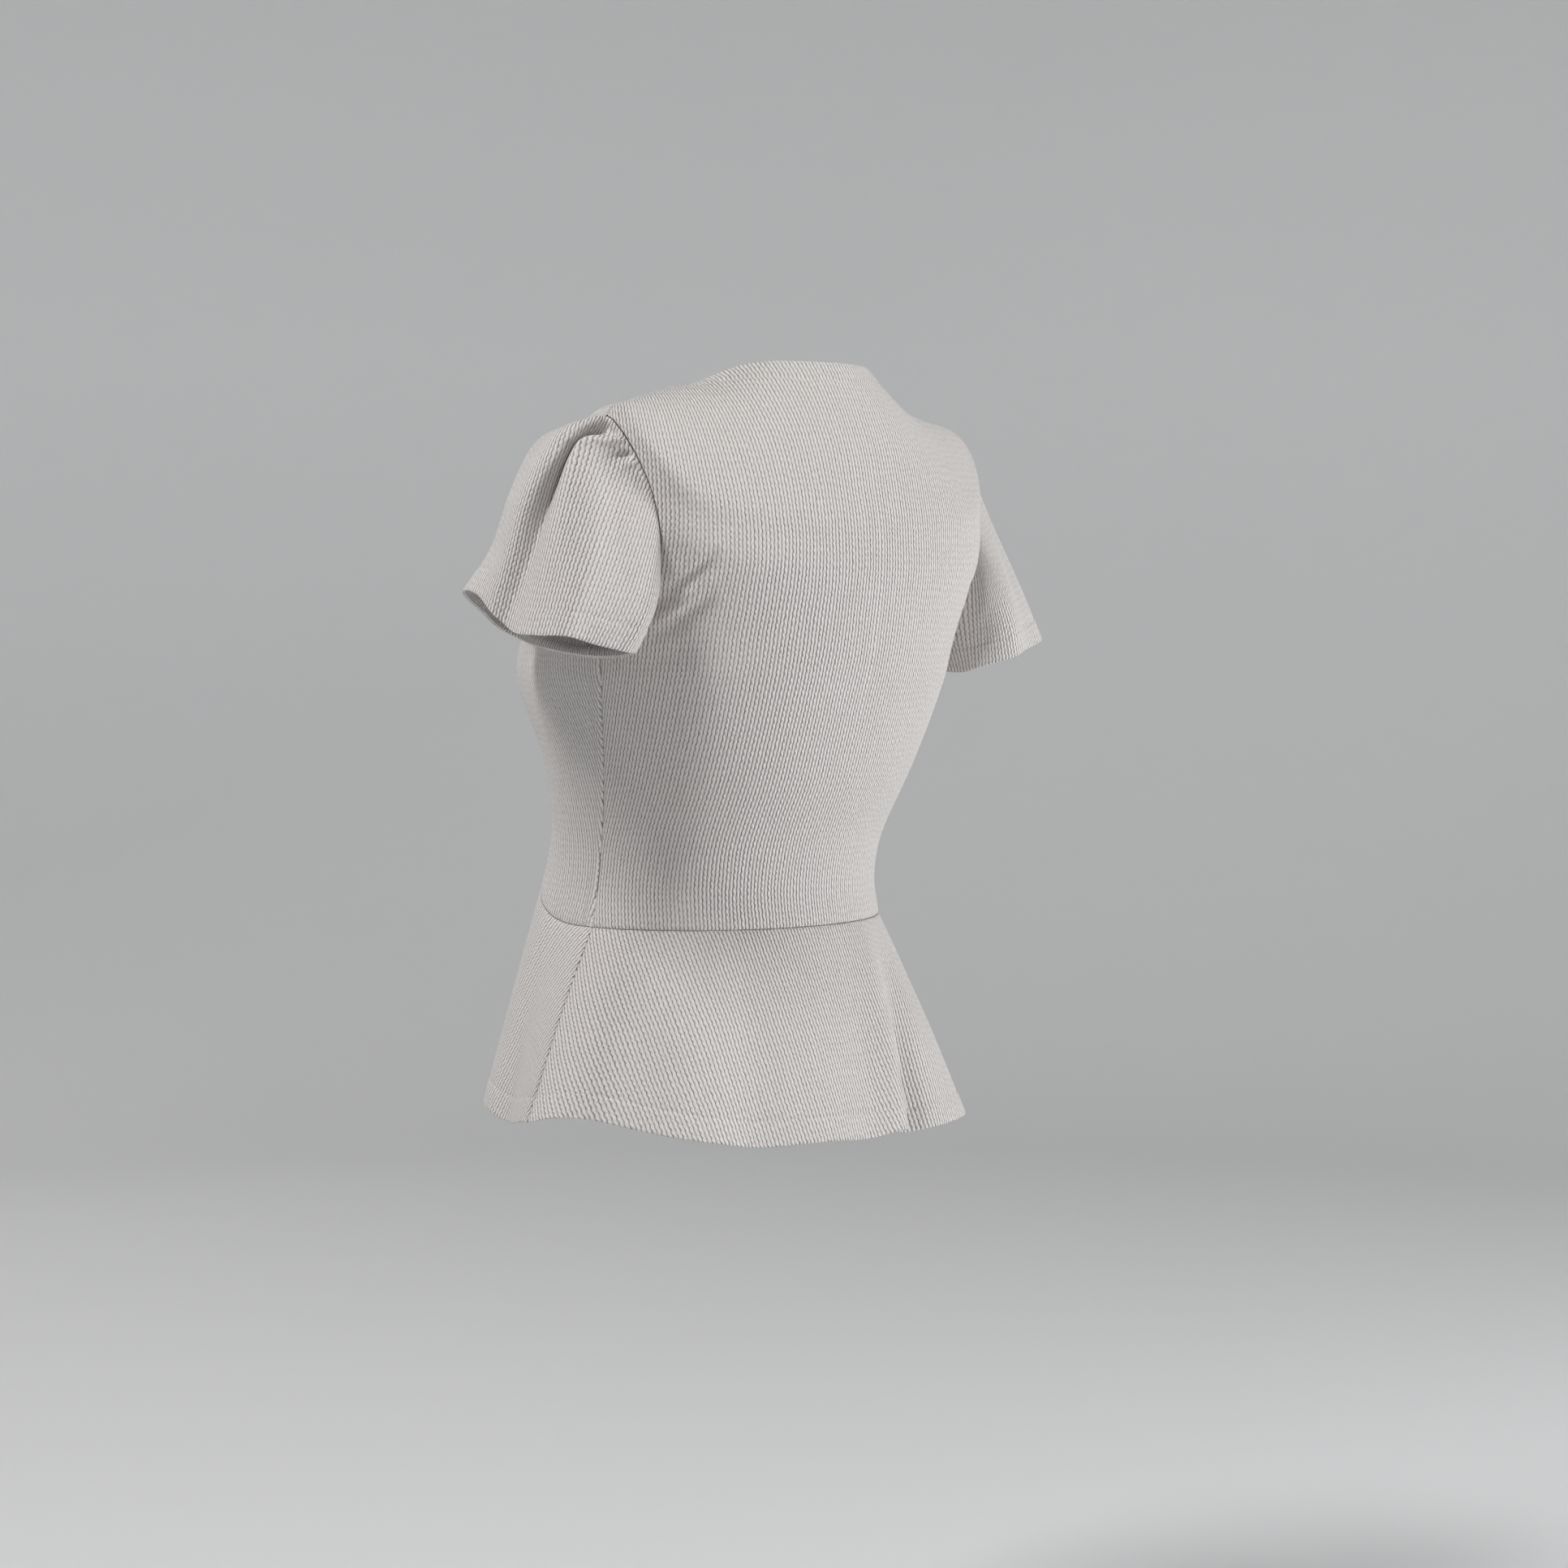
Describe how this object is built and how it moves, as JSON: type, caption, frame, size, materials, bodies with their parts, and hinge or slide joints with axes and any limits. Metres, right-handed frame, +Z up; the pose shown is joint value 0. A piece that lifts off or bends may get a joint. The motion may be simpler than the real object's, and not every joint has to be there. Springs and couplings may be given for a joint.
{
  "type": "blouse",
  "caption": "Short peplum blouse in crinkled rib knit with a round neck and flutter sleeves pleated at the cap, held in its worn hollow shape.",
  "frame": {"origin": "midway between the two side neck points, where the shoulder seams meet the neckline: the height at which the blouse hangs from the shoulders", "axes": "+Z up along the body, the garment's front faces -Y, the wearer's left is +X"},
  "size_m": [0.4898, 0.3049, 0.5352],
  "materials": {
    "crinkle_knit": "matt off-white crinkled vertical rib crepe knit"
  },
  "bodies": {
    "root": {"bodice_back": "crinkle_knit", "bodice_front": "crinkle_knit", "peplum_back": "crinkle_knit", "peplum_front": "crinkle_knit", "sleeve_left": "crinkle_knit", "sleeve_right": "crinkle_knit"}
  },
  "joints": []
}
